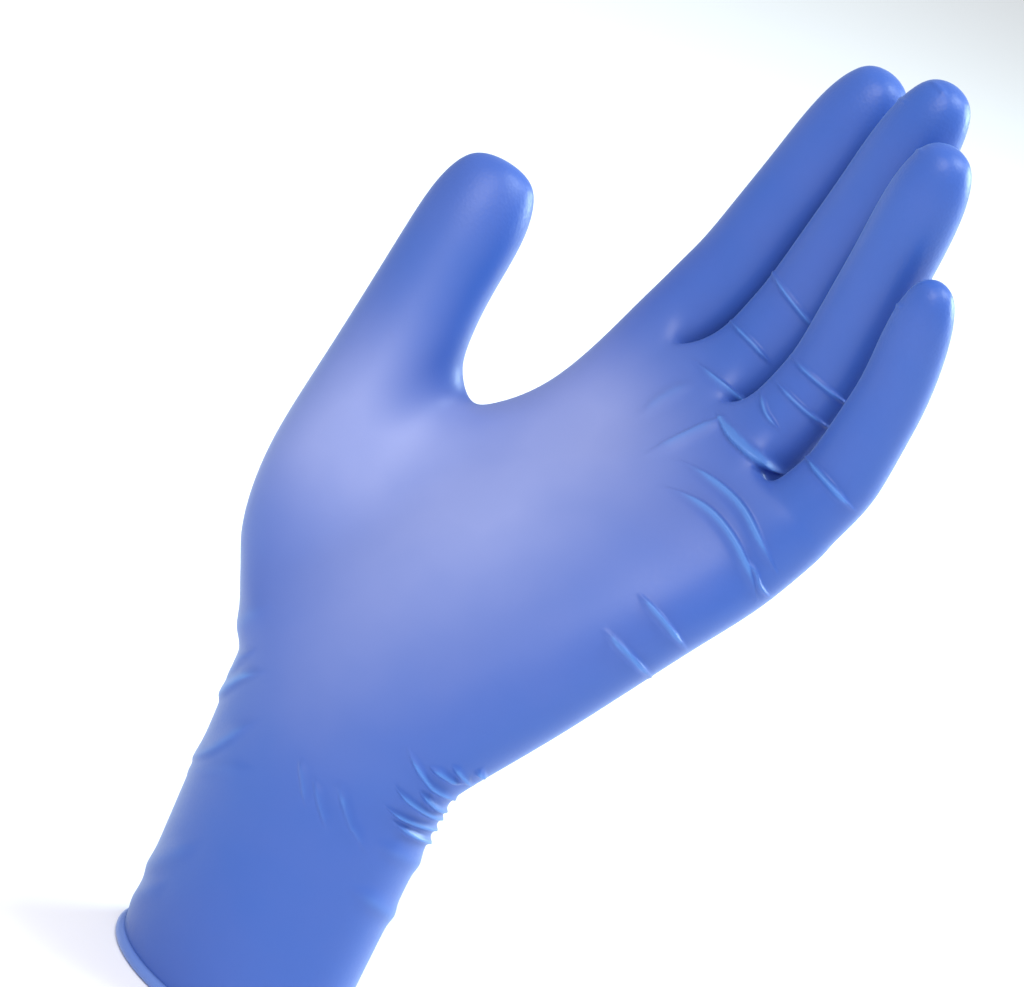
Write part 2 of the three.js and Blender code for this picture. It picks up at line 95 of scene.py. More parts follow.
# Shares as in the solid's own tables: reach and steps along the spine, breadth and depth of a section,
# its shift across and out, the exponent of its oval, and how far its palm side stands out.
SIZES = {
    "cuff": (CUFF_BREADTH, CUFF_DEPTH),
    "wrist": (WRIST_BREADTH, WRIST_DEPTH),
    "palm": (PALM_BREADTH, PALM_DEPTH),
}
SECTION_KEYS = (
    "reach", "breadth", "depth", "across", "out", "square", "thenar", "hollow", "heel", "edge", "steps",
)
SECTIONS = [
    ("cuff", -1, 1, 1, 0, 0, 2, 0, 0, 0, 0, 7),
    ("wrist", -0.2, 1.03, 1.06, 0, 0, 2.1, 0, 0, 0, 0, 2),
    ("wrist", 0.01, 1.04, 1.02, 0.04, 0.03, 2.2, 0.1, 0, 0, 0, 3),
    ("palm", 0.13, 0.95, 1.3, 0.22, 0.16, 2.2, 0.35, -0.08, 0.05, 0, 1),
    ("palm", 0.42, 0.91, 1.22, 0.05, 0.05, 2.3, 0.4, 0.12, 0.1, 0, 1),
    ("palm", 0.79, 0.97, 1.06, 0, -0.1, 2.4, 0.3, 0.06, 0.1, 0, 1),
    ("palm", 0.94, 0.9, 1, -0.01, -0.36, 2.5, 0.1, 0, 0.05, 0.25, 1),
]
THENAR_START = 0.4
COLUMNS = [0.93, 0.74, 0.5, 0.25, 0, -0.25, -0.5, -0.74, -0.93]
THUMB_ROOT = (4, 3, 2)
THUMB_GAPS = (3, 2, 1)

# Along a finger or the thumb: bone, share of it, breadth and depth as shares of the girth, crease, tilt
FINGER_SECTIONS = [
    (0, 0.68, 0.98, 0.98, 0, 0),
    (0, 0.9, 1, 0.97, 0, 0),
    (1, 0.06, 1, 0.96, 0.07, 0),
    (1, 0.5, 0.95, 0.95, 0, 0),
    (1, 0.95, 0.97, 0.92, 0.04, 0),
    (2, 0.3, 0.98, 0.92, 0, 0),
    (2, 0.66, 0.91, 0.85, 0, 0),
    (2, 0.92, 0.6, 0.55, 0, 0),
]
THUMB_SECTIONS = [
    (0, 0.6, 2.28, 1.2, 0, 37),
    (0, 1, 1.85, 1.15, 0, 30),
    (1, 0.45, 1.27, 1.08, 0, 33),
    (1, 1, 1, 0.98, 0, 10),
    (2, 0.33, 0.98, 0.94, 0, 6),
    (2, 0.66, 0.95, 0.84, 0, 0),
    (2, 0.92, 0.68, 0.52, 0, 0),
]
THUMB = dict(
    length=87.5 * MM, girth=23 * MM, reach=0.31, across=0.79, out=0.63,
    bones=(0.32, 0.315, 0.365), aside=(33, 14.5, 12), rise=(23, 13, 13), roll=45, taper=0,
)
FINGERS = dict(
    index=dict(
        length=93.5 * MM, girth=19.3 * MM, reach=0.98, across=0.683, out=-0.418,
        bones=(0.43, 0.28, 0.29), aside=(-6.5, -6.5, -6.5), rise=(12, 21, 21), roll=0, web=0.24, taper=0,
    ),
    middle=dict(
        length=101 * MM, girth=18.4 * MM, reach=1, across=0.206, out=-0.757,
        bones=(0.425, 0.285, 0.29), aside=(-6, -6, -6), rise=(17, 26, 26.5), roll=0, web=0.22, taper=0,
    ),
    ring=dict(
        length=97 * MM, girth=17.4 * MM, reach=0.965, across=-0.238, out=-0.728,
        bones=(0.42, 0.3, 0.28), aside=(-5.5, -5.5, -5), rise=(16, 33, 34.5), roll=0, web=0.23, taper=0,
    ),
    little=dict(
        length=83.5 * MM, girth=15.6 * MM, reach=0.88, across=-0.66, out=-0.726,
        bones=(0.42, 0.265, 0.315), aside=(-6, -5, -4), rise=(8.5, 30, 42), roll=0, web=0.28, taper=0.26,
    ),
)
PARTS = ["hand", "thumb", *FINGERS]


def place(spot, along=0.0, across=0.0, out=0.0):
    return spot["origin"] + along * spot["along"] + across * spot["across"] + out * spot["out"]


bend_to = np.array([tan(WRIST_BEND_ASIDE), tan(WRIST_BEND_BACK), 0])
bend_angle = atan(np.linalg.norm(bend_to))
bend_to /= np.linalg.norm(bend_to)
bend_axis = np.cross([0, 0, 1], bend_to)
bend_reach = WRIST_BEND_LENGTH / 2
bend_radius = bend_reach / tan(bend_angle / 2)


def spot_turned(angle, origin):
    turn = np.array(Matrix.Rotation(angle, 3, bend_axis.tolist()))
    return dict(origin=np.array(origin), along=turn[:, 2], across=-turn[:, 0], out=-turn[:, 1])


palm = spot_turned(bend_angle, wrist)


def spine(reach):
    """The spine runs straight up the cuff, round the bend at the wrist and straight along the palm."""
    if reach <= -bend_reach:
        return spot_turned(0, [0, 0, CUFF_LENGTH + reach])
    if reach >= bend_reach:
        return spot_turned(bend_angle, place(palm, reach))
    angle = bend_angle * (reach + bend_reach) / (2 * bend_reach)
    rise = CUFF_LENGTH - bend_reach + bend_radius * sin(angle)
    return spot_turned(angle, np.array([0, 0, rise]) + bend_radius * (1 - cos(angle)) * bend_to)


cage_points, cage_faces, cage_parts = [], [], []


def add_point(point):
    cage_points.append(point)
    return len(cage_points) - 1


def bridge(lower, upper, part, gaps=()):
    for i in range(len(lower)):
        after = (i + 1) % len(lower)
        if i not in gaps:
            cage_faces.append((lower[i], upper[i], upper[after], lower[after]))
            cage_parts.append(PARTS.index(part))


def section_ring(section):
    """One section of the cuff or palm: thumb side, back, little-finger side, palm."""
    here = spine(section["reach"])

    def point_at(share, side):
        rise = (1 - abs(share) ** section["square"]) ** (1 / section["square"])
        ramp = max(0, share + THENAR_START) / (1 + THENAR_START)
        balls = section["thenar"] * ramp + section["heel"] * max(0, -share)
        cup = section["hollow"] * max(0, 1 - 2 * abs(share))
        stand = (balls + cup) * rise if side > 0 else 0
        across = section["breadth"] / 2 * (share + section["across"])
        set_back = section["edge"] * max(0, -share)
        out = section["depth"] / 2 * (side * rise + section["out"] + stand - set_back)
        return add_point(place(here, 0, across, out))

    back = [point_at(share, -1) for share in COLUMNS]
    front = [point_at(share, 1) for share in COLUMNS]
    return [point_at(1, 0), *back, point_at(-1, 0), *reversed(front)]


sized = []
for size, *shares in SECTIONS:
    section = dict(zip(SECTION_KEYS, shares))
    section["reach"] *= CUFF_LENGTH - BEAD_THICKNESS if section["reach"] < 0 else PALM_REACH
    section["breadth"] *= SIZES[size][0]
    section["depth"] *= SIZES[size][1]
    sized.append(section)
rows = []
for section, following in zip(sized, sized[1:] + sized[-1:]):
    for step in range(section["steps"]):
        share = step / section["steps"]
        eased = share * share * (3 - 2 * share)
        blend = {key: section[key] + eased * (following[key] - section[key]) for key in SECTION_KEYS}
        rows.append(section_ring(blend))
thumb_rows = [len(rows) - from_last for from_last in THUMB_ROOT]
for i, (lower, upper) in enumerate(zip(rows, rows[1:])):
    beside = thumb_rows[0] <= i < thumb_rows[2]
    bridge(lower, upper, "hand", [len(upper) - from_last for from_last in THUMB_GAPS] if beside else ())


def digit_spot(digit, bone, share, tilt=0):
    """A place on the thumb's or a finger's bone, at a share of the bone's length."""
    origin = place(
        palm, digit["reach"] * PALM_REACH, digit["across"] * PALM_BREADTH / 2, digit["out"] * PALM_DEPTH / 2
    )
    for n in range(bone + 1):
        aside, rise = radians(digit["aside"][n]), radians(digit["rise"][n])
        level = cos(aside) * palm["along"] + sin(aside) * palm["across"]
        along = cos(rise) * level + sin(rise) * palm["out"]
        origin = origin + digit["length"] * digit["bones"][n] * (1 if n < bone else share) * along
    roll = radians(digit["roll"])
    across = cos(roll) * palm["across"] + sin(roll) * palm["out"]
    across = across - across.dot(along) * along
    across /= np.linalg.norm(across)
    out = np.cross(along, across)
    tilt = radians(tilt)
    return dict(
        origin=origin, out=out,
        along=cos(tilt) * along + sin(tilt) * np.cross(out, along),
        across=cos(tilt) * across + sin(tilt) * np.cross(out, across),
    )


def round_section(spot, sides, breadth, depth, crease=0.0):
    """A ring: thumb side, back, little-finger side, palm. Smoothing draws it in to the size asked for."""
    smoothed = (2 + cos(2 * pi / sides)) / 3
    phase = 0 if sides % 4 == 0 else 0.5
    ring = []
    for i in range(sides):
        angle = 2 * pi * (i + phase) / sides
        drawn_in = 1 - crease * max(0, -sin(angle))
        across = breadth / 2 / smoothed * cos(angle)
        ring.append(place(spot, 0, across, -depth / 2 / smoothed * sin(angle) * drawn_in))
    return ring


def stall(part, digit, root, sections):
    """The thumb or a finger from its root to its closed tip."""
    last = root
    for bone, share, breadth, depth, crease, tilt in sections:
        spot = digit_spot(digit, bone, share, tilt)
        girth = digit["girth"] * (1 + digit["taper"] * (0.5 - (bone + share) / len(digit["bones"])))
        ring = [add_point(p) for p in round_section(spot, len(root), girth * breadth, girth * depth, crease)]
        bridge(last, ring, part)
        last = ring
    tip = add_point(digit_spot(digit, len(digit["bones"]) - 1, 1)["origin"])
    for i in range(0, len(last), 2):
        cage_faces.append((last[i], tip, last[(i + 2) % len(last)], last[i + 1]))
        cage_parts.append(PARTS.index(part))


# Neighbouring fingers share the corners between them, and the web's lowest point between those.
FINGER_SIDES = 8
WEB_CORNERS = [(3, 1, -1), (4, 0, 0), (5, 7, 1)]
fingers = list(FINGERS.values())
roots = [
    round_section(
        digit_spot(f, 0, f["web"] / f["bones"][0]), FINGER_SIDES,
        *[f["girth"] * (1 + f["taper"] / 2)] * 2,
    )
    for f in fingers
]
root_rings = [[None] * FINGER_SIDES for _ in fingers]
for f in range(len(fingers) - 1):
    for own, neighbours, side in WEB_CORNERS:
        between = (roots[f][own] + roots[f + 1][neighbours]) / 2
        between = between + side * WEB_FILL * palm["out"] - (side == 0) * WEB_DEPTH * palm["along"]
        root_rings[f][own] = root_rings[f + 1][neighbours] = add_point(between)
for root, ring in zip(roots, root_rings):
    ring[:] = [add_point(p) if known is None else known for p, known in zip(root, ring)]
bridge(
    rows[-1],
    [
        *root_rings[0][:2],
        *(p for ring in root_rings for p in ring[2:4]),
        *root_rings[-1][4:6],
        *(p for ring in reversed(root_rings) for p in ring[6:8]),
    ],
    "hand",
)
for part, finger, ring in zip(FINGERS, fingers, root_rings):
    stall(part, finger, ring, FINGER_SECTIONS)
near, mid, far = (rows[n] for n in thumb_rows)
innermost, inner, outer = (-from_last for from_last in THUMB_GAPS)
thumb_ring = [
    near[outer], near[0], mid[0], far[0], far[outer],
    far[inner], far[innermost], mid[innermost], near[innermost], near[inner],
]
stall("thumb", THUMB, thumb_ring, THUMB_SECTIONS)


def smoothed_cage(levels):
    """Points, faces and the part that each face belongs to, after that many rounds of subdivision."""
    used = sorted({p for face in cage_faces for p in face})
    new_number = {p: i for i, p in enumerate(used)}
    mesh = bpy.data.meshes.new("cage")
    mesh.from_pydata(
        [cage_points[p] for p in used], [], [[new_number[p] for p in face] for face in cage_faces]
    )
    mesh.polygons.foreach_set("material_index", cage_parts)
    holder = bpy.data.objects.new("cage", mesh)
    bpy.context.scene.collection.objects.link(holder)
    smoothing = holder.modifiers.new("smooth", "SUBSURF")
    smoothing.levels = smoothing.render_levels = levels
    evaluated = holder.evaluated_get(bpy.context.evaluated_depsgraph_get()).to_mesh()
    points = np.empty(len(evaluated.vertices) * 3)
    evaluated.vertices.foreach_get("co", points)
    parts = np.empty(len(evaluated.polygons), np.int32)
    evaluated.polygons.foreach_get("material_index", parts)
    faces = [tuple(face.vertices) for face in evaluated.polygons]
    bpy.data.objects.remove(holder)
    bpy.data.meshes.remove(mesh)
    return points.reshape(-1, 3), faces, parts


def normals_of(points, faces):
    mesh = bpy.data.meshes.new("normals")
    mesh.from_pydata(points, [], faces)
    normals = np.empty(len(points) * 3)
    mesh.vertex_normals.foreach_get("vector", normals)
    bpy.data.meshes.remove(mesh)
    return normals.reshape(-1, 3)


def parts_of_points(count, faces, parts):
    """For each point, the share of the faces round it that belong to each part."""
    shares = np.zeros((count, len(PARTS)))
    for face, part in zip(faces, parts):
        shares[list(face), part] += 1
    return shares / shares.sum(axis=1, keepdims=True)


def piece(name, points, faces, material):
    mesh = bpy.data.meshes.new(name)
    mesh.from_pydata(points, [], faces)
    mesh.polygons.foreach_set("use_smooth", [True] * len(faces))
    mesh.materials.append(material)
    holder = bpy.data.objects.new(name, mesh)
    bpy.context.scene.collection.objects.link(holder)
    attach(holder, "root")
    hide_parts("glove")
    return holder


PEBBLE_HEIGHT, GRAIN_HEIGHT = 1.6, 0.5
CLOUD_SWING, CLOUD_LEAST = 0.7, 0.65
GRAIN_ROUGHNESS, CLOUD_ROUGHNESS, LEAST_ROUGHNESS = 0.16, 0.08, 0.3


def film_effects():
    """Where the film is pulled thinner, with a painted highlight over the palm in that mask, a painted
    highlight on fold crests, clouding and fine grain: masks and heights over the surface.
    """
    group = bpy.data.node_groups.new("film_effects", "ShaderNodeTree")
    for name in ("Cloud Scale", "Grain Scale", "Tip Scale"):
        group.interface.new_socket(name, in_out="INPUT", socket_type="NodeSocketFloat")
    for name in ("Stretched And Highlit", "Fold Highlight", "Clouds", "Height", "Roughness"):
        group.interface.new_socket(name, in_out="OUTPUT", socket_type="NodeSocketFloat")
    nodes, links = group.nodes, group.links
    given, out = nodes.new("NodeGroupInput"), nodes.new("NodeGroupOutput")
    where = nodes.new("ShaderNodeTexCoord").outputs["Object"]

    def noise(scale, detail, rough=0.5):
        node = nodes.new("ShaderNodeTexNoise")
        node.inputs["Detail"].default_value = detail
        node.inputs["Roughness"].default_value = rough
        links.new(where, node.inputs["Vector"])
        links.new(given.outputs[scale], node.inputs["Scale"])
        return node.outputs["Fac"]

    def mask(name):
        node = nodes.new("ShaderNodeAttribute")
        node.attribute_name = name
        return node.outputs["Fac"]

    def calculated(operation, *values):
        node = nodes.new("ShaderNodeMath")
        node.operation = operation
        for socket, value in zip(node.inputs, values):
            if isinstance(value, (int, float)):
                socket.default_value = value
            else:
                links.new(value, socket)
        return node.outputs[0]

    clouds = noise("Cloud Scale", 3, 0.55)
    grain = noise("Grain Scale", 4, 0.6)
    pebbles = nodes.new("ShaderNodeTexVoronoi")
    links.new(where, pebbles.inputs["Vector"])
    links.new(given.outputs["Tip Scale"], pebbles.inputs["Scale"])
    tips = calculated("MULTIPLY", pebbles.outputs["Distance"], mask("tip"))
    tip_height = calculated("MULTIPLY", tips, PEBBLE_HEIGHT)
    cloud_swing = calculated("ADD", calculated("MULTIPLY", clouds, CLOUD_SWING), CLOUD_LEAST)
    # Paler thinned film, with the palm's painted highlight in the same mask, varied by the clouds.
    links.new(calculated("MULTIPLY", mask("stretch_and_highlight"), cloud_swing), out.inputs["Stretched And Highlit"])
    # Painted highlight on the crests of the folds.
    links.new(mask("fold"), out.inputs["Fold Highlight"])
    links.new(clouds, out.inputs["Clouds"])
    grain_height = calculated("MULTIPLY", grain, GRAIN_HEIGHT)
    links.new(calculated("ADD", grain_height, tip_height), out.inputs["Height"])
    grain_rough = calculated("MULTIPLY", grain, GRAIN_ROUGHNESS)
    rough = calculated("ADD", grain_rough, calculated("MULTIPLY", clouds, CLOUD_ROUGHNESS))
    links.new(calculated("ADD", rough, LEAST_ROUGHNESS), out.inputs["Roughness"])
    return group


film_effect_group = film_effects()
CLOUD_SCALE, GRAIN_SCALE, TIP_SCALE = 26, 1500, 1300
# The lavender is the thinned film's own paler colour with a painted highlight over the palm laid into it; the
# light cyan blue is a painted highlight on the crests of the folds.
SLACK_BLUE = (0.022, 0.102, 0.43, 1)
CLOUDED_BLUE = (0.065, 0.118, 0.42, 1)
STRETCHED_AND_HIGHLIT_LAVENDER = (0.235, 0.285, 0.585, 1)
FOLD_HIGHLIGHT_BLUE = (0.11, 0.3, 0.7, 1)


def nitrile_film(name, slack, clouded, stretched_and_highlit, fold_highlight, roughness_shift, bump_depth):
    """Satin dipped nitrile: paler where the film is pulled thin, that paleness also carrying a painted
    highlight over the palm side, and a painted light cyan highlight on the crests of the folds.
    """
    material = bpy.data.materials.new(name)
    material.use_nodes = True
    nodes, links = material.node_tree.nodes, material.node_tree.links
    shader = nodes["Principled BSDF"]
    effects = nodes.new("ShaderNodeGroup")
    effects.node_tree = film_effect_group
    effects.inputs["Cloud Scale"].default_value = CLOUD_SCALE
    effects.inputs["Grain Scale"].default_value = GRAIN_SCALE
    effects.inputs["Tip Scale"].default_value = TIP_SCALE

    def mixed(first, second, share):
        node = nodes.new("ShaderNodeMix")
        node.data_type = "RGBA"
        for socket, value in ((node.inputs[6], first), (node.inputs[7], second)):
            if isinstance(value, tuple):
                socket.default_value = value
            else:
                links.new(value, socket)
        links.new(share, node.inputs[0])
        return node.outputs[2]

    colour = mixed(slack, clouded, effects.outputs["Clouds"])
    colour = mixed(colour, stretched_and_highlit, effects.outputs["Stretched And Highlit"])
    colour = mixed(colour, fold_highlight, effects.outputs["Fold Highlight"])
    links.new(colour, shader.inputs["Base Color"])
    shifted = nodes.new("ShaderNodeMath")
    shifted.operation = "ADD"
    shifted.inputs[1].default_value = roughness_shift
    links.new(effects.outputs["Roughness"], shifted.inputs[0])
    links.new(shifted.outputs[0], shader.inputs["Roughness"])
    bump = nodes.new("ShaderNodeBump")
    bump.inputs["Strength"].default_value = 0.35
    bump.inputs["Distance"].default_value = bump_depth
    links.new(effects.outputs["Height"], bump.inputs["Height"])
    links.new(bump.outputs["Normal"], shader.inputs["Normal"])
    shader.inputs["Specular IOR Level"].default_value = 0.34
    shader.inputs["Sheen Weight"].default_value = 0.2
    shader.inputs["Sheen Roughness"].default_value = 0.3
    shader.inputs["Sheen Tint"].default_value = (0.6, 0.85, 1, 1)
    return material


nitrile = nitrile_film(
    "nitrile", SLACK_BLUE, CLOUDED_BLUE, STRETCHED_AND_HIGHLIT_LAVENDER, FOLD_HIGHLIGHT_BLUE, 0, 0.06 * MM
)

# The film lies in folds where the hand bends under it: pinched ones across the fingers and the palm's
# outer edge, a fan of them at the wrist, and soft long ones where it is pulled. Each fold is a path in the
# plane of a view through the wrist, in millimetres right of the wrist and above it. height, left and
# right are millimetres too: how high it stands, and how far it reaches to either side of its path.
FOLD_KEYS = ("parts", "height", "left", "right", "path")
FINGER_PINCH = (0.8, 0.42, 0.8)
PALM_FOLD = (1.0, 0.5, 1.3)
FAN_FOLD = (0.95, 0.8, 0.45)
SOFT_FOLD = (0.55, 1.2, 0.5)
PALM_SIDE_FOLDS = [
    (("middle",), *FINGER_PINCH, [(86.4, 97), (88, 94), (91, 89.6), (95.4, 84), (98, 80.6)]),
    (("middle",), *FINGER_PINCH, [(78, 86), (80, 84), (84, 80), (88, 75.4)]),
    (("middle", "hand"), 0.8, 0.45, 1.2, [(70.4, 78), (72.4, 76.4), (77, 72.6), (84, 67), (87, 65)]),
    (("ring",), *FINGER_PINCH, [(90, 79), (91.6, 77.4), (96, 73.4), (101.6, 68.8), (104, 67)]),
    (("ring",), *FINGER_PINCH, [(87, 74), (88.6, 72.4), (93, 68), (98, 64), (100, 62.4)]),
    (("ring",), *FINGER_PINCH, [(85.2, 71.6), (85.6, 69.6), (86.6, 66), (89.4, 62.4)]),
    (("ring", "hand"), 1.5, 1.8, 0.45, [(75.6, 68), (78.2, 62.6), (81, 59.4), (85, 56.2), (91, 53.6)]),
    (("little",), 1.1, 0.5, 0.9, [(93, 59), (94.4, 57.4), (98, 53.4), (102.6, 48.2), (104.6, 46)]),
    (("hand", "ring"), 0.7, 0.6, 1.6, [(61, 57.6), (69, 61.6), (75, 64.4), (80, 66.4)]),
    (("hand",), 0.6, 1.2, 1.4, [(60, 65), (66, 69.6), (73, 73)]),
    (("hand",), *PALM_FOLD, [(66, 58), (71, 55.8), (77, 52), (82, 47), (86, 39), (89.6, 32)]),
    (("hand",), *PALM_FOLD, [(63, 52), (68, 50.8), (75, 47), (80, 41), (83, 34), (85, 26.6)]),
    (("hand",), 0.7, 0.5, 0.6, [(81.6, 38), (84, 34.6), (84.8, 32), (86.4, 30), (88, 29)]),
    (("hand",), 1.1, 0.45, 0.9, [(60, 31.4), (62, 29), (66, 24.6), (71, 18)]),
    (("hand",), 1.1, 0.45, 0.9, [(53, 24), (55, 22), (59, 18), (64.4, 12.4)]),
    (("hand",), *FAN_FOLD, [(14.2, 0.6), (15.4, -2.8), (17.8, -6.6), (20.4, -9.2), (27, -12)]),
    (("hand",), *FAN_FOLD, [(11.2, -6.8), (13, -9.4), (15.4, -11.6), (20.2, -14.4), (25, -14.8)]),
    (("hand",), *FAN_FOLD, [(16.4, -8.6), (18.6, -11), (20.8, -12.8), (24, -13.4)]),
    (("hand",), *FAN_FOLD, [(9, -11.2), (12.2, -13.8), (15.4, -15.4), (19, -16.6), (24, -17.2)]),
    (("hand",), *FAN_FOLD, [(10.8, -14.4), (13.6, -16.8), (16.6, -18.6), (19, -19.4), (23, -20.2)]),
    (("hand",), *FAN_FOLD, [(23, -3.6), (24.8, -5.6), (26.6, -7.4), (28.4, -7.8)]),
    (("hand",), *FAN_FOLD, [(18.4, -4), (20.8, -5.6), (23.6, -7.2), (26, -7.8)]),
    (("hand",), *FAN_FOLD, [(27.8, -5), (29.2, -6), (30.6, -6.2)]),
    (("hand",), *SOFT_FOLD, [(0.4, -7.4), (2.8, -15.6), (4, -17.6), (6.6, -22.6)]),
    (("hand",), *SOFT_FOLD, [(-7.2, -1.8), (-6.6, -6), (-5.8, -13)]),
    (("hand",), *SOFT_FOLD, [(-4.4, -5.6), (-3.2, -11.4), (-1.4, -17.8)]),
    (("hand",), 0.3, 1.3, 1.3, [(0, -6.6), (1.4, -10), (2.4, -13)]),
    (("hand",), 0.85, 0.6, 1.8, [(-13, 14.6), (-16.8, 13.8), (-20.4, 12), (-26, 7)]),
    (("hand",), 0.6, 0.7, 1.2, [(-15, 19.6), (-18.4, 17.6), (-20.4, 15), (-24, 11)]),
    (("hand",), 0.65, 0.7, 1.9, [(-14, 5.4), (-18.6, 3), (-22.2, 0.4), (-25.6, -1.6), (-32, -4)]),
    (("hand",), 0.4, 1.4, 1.8, [(-15, -5), (-20, -5), (-25, -5), (-32, -5.2)]),
    (("hand",), 0.6, 2, 2.4, [(-12, 29), (-17, 25.6), (-21, 22.4), (-26, 19)]),
    (("hand",), 0.5, 2, 2, [(-26, -18.6), (-31, -21), (-36, -23.4), (-42, -25.6)]),
    (("hand",), 0.5, 2, 1.6, [(-33, -27), (-37, -28.8), (-41, -31), (-46, -33)]),
    (("hand",), 0.6, 2, 2, [(2, -28), (7, -31), (11, -33.6), (18, -37)]),
    (("hand",), 0.5, 2, 2, [(7, -19), (12, -21.6), (16.4, -23.6), (23, -26)]),
    (("middle",), 0.3, 0.6, 0.5, [(118.6, 133), (120.6, 131.6), (122.6, 129.4)]),
    (("middle",), 0.3, 0.6, 0.5, [(112, 129.8), (113.4, 128.8), (115, 128.4)]),
    (("ring",), 0.3, 0.6, 0.5, [(114.8, 119.8), (116.2, 119), (118, 118.2)]),
    (("little",), 0.3, 0.6, 0.5, [(111, 88.8), (112.4, 88), (114, 87.4)]),
]
BACK_AZIMUTH = radians(215)
BACK_ELEVATION = radians(12)
BACK_SIDE_FOLDS = [
    (("hand",), 0.9, 1.8, 1.1, [(-24, 4), (-12, 1.4), (2, 0.6), (16, 2.6)]),
    (("hand",), 0.8, 1.6, 1, [(-18, -4), (-6, -5.6), (8, -5), (20, -2)]),
    (("hand",), 0.6, 1.4, 1, [(-22, -11), (-10, -12.4), (4, -11)]),
    (("hand",), 0.5, 1.6, 1.6, [(-8, -22), (-4, -34), (-6, -46)]),
    (("hand",), 0.5, 1.6, 1.6, [(10, -18), (13, -30), (11, -42)]),
    (("index",), 0.4, 0.9, 0.6, [(14, 112), (20, 110), (27, 112)]),
    (("middle",), 0.4, 0.9, 0.6, [(2, 120), (7, 118), (13, 120)]),
    (("ring",), 0.4, 0.9, 0.6, [(-12, 116), (-6, 114), (0, 116)]),
    (("little",), 0.4, 0.9, 0.6, [(-26, 96), (-20, 95), (-14, 97)]),
]
FOLD_FADE = 0.34
FOLD_SLIMMEST = 0.35
FOLD_MARGIN = 3
STEPS_BETWEEN = 6
FACING_FROM, FACING_TO = -0.3, 0.1


def smoothstep(low, high, value):
    share = np.clip((value - low) / (high - low), 0, 1)
    return share * share * (3 - 2 * share)


def curve_through(path):
    """The path's points with a smooth curve filled in between them, in metres."""
    p = np.array(path) * MM
    p = np.vstack([2 * p[0] - p[1], p, 2 * p[-1] - p[-2]])
    t = np.linspace(0, 1, STEPS_BETWEEN, endpoint=False)[:, None]
    bends = [
        0.5 * (2 * b + t * (c - a) + t**2 * (2 * a - 5 * b + 4 * c - d) + t**3 * (3 * b - a - 3 * c + d))
        for a, b, c, d in zip(p, p[1:], p[2:], p[3:])
    ]
    return np.vstack([*bends, p[-2]])


def off_and_along(flat, curve):
    """Signed distance of each point from the curve, left of it positive, and the share along it."""
    best = np.full(len(flat), np.inf)
    off, along = np.zeros(len(flat)), np.zeros(len(flat))
    lengths = np.linalg.norm(np.diff(curve, axis=0), axis=1)
    starts = np.concatenate([[0], np.cumsum(lengths)])
    for a, b, start, length in zip(curve, curve[1:], starts, lengths):
        heading = (b - a) / length
        ahead = np.clip((flat - a) @ heading, 0, length)
        away = flat - a - ahead[:, None] * heading
        distance = np.linalg.norm(away, axis=1)
        closer = distance < best
        side = heading[0] * away[:, 1] - heading[1] * away[:, 0]
        best[closer] = distance[closer]
        off[closer] = np.where(side < 0, -distance, distance)[closer]
        along[closer] = ((start + ahead) / starts[-1])[closer]
    return off, along


def flattened(points, axes, centre, distance):
    """Points as the view sees them, scaled to the plane through the wrist."""
    seen = (points - centre) @ axes.T
    scale = distance / (distance - seen[:, 2])
    return seen[:, :2] * scale[:, None] + (centre - wrist) @ axes[:2].T


back_axes = view_axes(BACK_AZIMUTH, BACK_ELEVATION, 0)
FOLD_VIEWS = [
    (camera_axes, looked_at, PALM_SIDE_FOLDS),
    (back_axes, wrist, BACK_SIDE_FOLDS),
]


def fold_heights(points, normals, shares):
    """How high the film stands over the smooth form, and how near each point is to a fold."""
    height, nearness = np.zeros(len(points)), np.zeros(len(points))
    for axes, centre, folds in FOLD_VIEWS:
        flat = flattened(points, axes, centre, CAMERA_DISTANCE)
        facing = smoothstep(FACING_FROM, FACING_TO, normals @ axes[2])
        for row in folds:
            fold = dict(zip(FOLD_KEYS, row))
            curve = curve_through(fold["path"])
            left, right = fold["left"] * MM, fold["right"] * MM
            margin = FOLD_MARGIN * max(left, right)
            inside = ((flat > curve.min(axis=0) - margin) & (flat < curve.max(axis=0) + margin)).all(axis=1)
            belongs = shares[:, [PARTS.index(part) for part in fold["parts"]]].sum(axis=1)
            near_it = np.nonzero(inside & (facing * belongs > 0))[0]
            off, along = off_and_along(flat[near_it], curve)
            ends = smoothstep(0, FOLD_FADE, along) * smoothstep(0, FOLD_FADE, 1 - along)
            slim = FOLD_SLIMMEST + (1 - FOLD_SLIMMEST) * ends
            across = np.exp(-((off / slim / np.where(off > 0, left, right)) ** 2))
            there = facing[near_it] * belongs[near_it]
            height[near_it] += fold["height"] * MM * there * ends * across
            reach = np.abs(off) / np.where(off > 0, left, right)
            nearness[near_it] = np.maximum(nearness[near_it], there * (ends > 0) * np.exp(-reach / 2))
    return height, nearness


